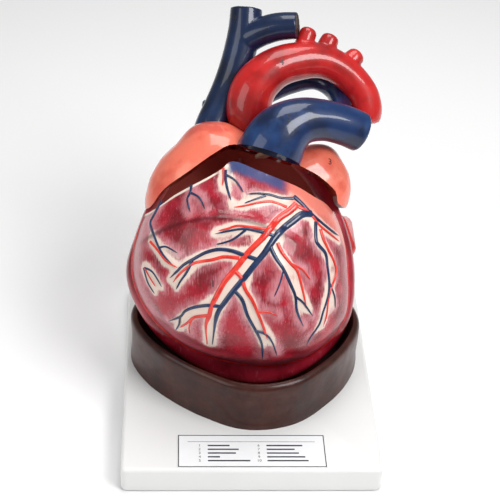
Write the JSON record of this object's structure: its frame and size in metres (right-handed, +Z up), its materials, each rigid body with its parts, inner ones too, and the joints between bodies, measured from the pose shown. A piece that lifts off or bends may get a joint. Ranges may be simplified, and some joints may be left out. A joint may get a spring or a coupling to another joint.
{
  "type": "human heart anatomy model",
  "caption": "Enlarged human heart that lifts out of a brown cradle on a white base; its front cover and its piece with the atria and great vessels come off.",
  "frame": {"origin": "on the table, under the middle of the whole model", "axes": "+X to the viewer's right, +Y to the back, +Z up; the label is at the front, at -Y"},
  "size_m": [0.2672, 0.3619, 0.3603],
  "materials": {
    "base_plastic": "satin white",
    "foot_rubber": "matt",
    "label_paper": "printed",
    "cradle_brown": "lacquered dark brown",
    "screw_steel": "plain",
    "muscle_red": "lacquered, painted muscle",
    "muscle_wall": "lacquered",
    "chamber_wall": "lacquered",
    "valve_cream": "lacquered",
    "papillary_red": "lacquered",
    "vein_block_red": "lacquered",
    "vein_navy": "lacquered",
    "pin_steel": "plain",
    "cover_muscle": "lacquered, painted muscle, fat and vessels",
    "atrium_salmon": "lacquered",
    "artery_red": "lacquered",
    "artery_blue": "lacquered",
    "vein_end_brown": "matt"
  },
  "bodies": {
    "stand": {"base_plate": "base_plastic", "rubber_feet": "foot_rubber", "base_label": "label_paper", "cradle": "cradle_brown", "cradle_screws": "screw_steel"},
    "heart": {"rear_body": "muscle_red", "septum": "muscle_wall", "valve_wall": "chamber_wall", "tricuspid_valve": "valve_cream", "mitral_valve": "valve_cream", "right_papillary_muscles": "papillary_red", "left_papillary_muscles": "papillary_red", "left_pulmonary_veins": "vein_block_red", "right_pulmonary_veins": "vein_block_red", "inferior_vena_cava": "vein_navy", "cover_pins": "pin_steel", "vessel_pins": "pin_steel"},
    "cover": {"ventricle_cover": "cover_muscle"},
    "vessels": {"right_atrium": "atrium_salmon", "left_atrium": "atrium_salmon", "aorta": "artery_red", "pulmonary_artery": "artery_blue", "superior_vena_cava": "vein_navy", "vein_end_caps": "vein_end_brown", "aortic_valve": "valve_cream", "pulmonary_valve": "valve_cream"}
  },
  "joints": [
    {"name": "heart_lift", "type": "slide", "parent": "stand", "child": "heart", "axis": [0, 0, 1], "range_m": [0, 0.2]},
    {"name": "cover_lift", "type": "slide", "parent": "heart", "child": "cover", "axis": [0, -0.788, 0.6157], "range_m": [0, 0.15]},
    {"name": "vessels_lift", "type": "slide", "parent": "heart", "child": "vessels", "axis": [0, 0.6157, 0.788], "range_m": [0, 0.15]}
  ]
}
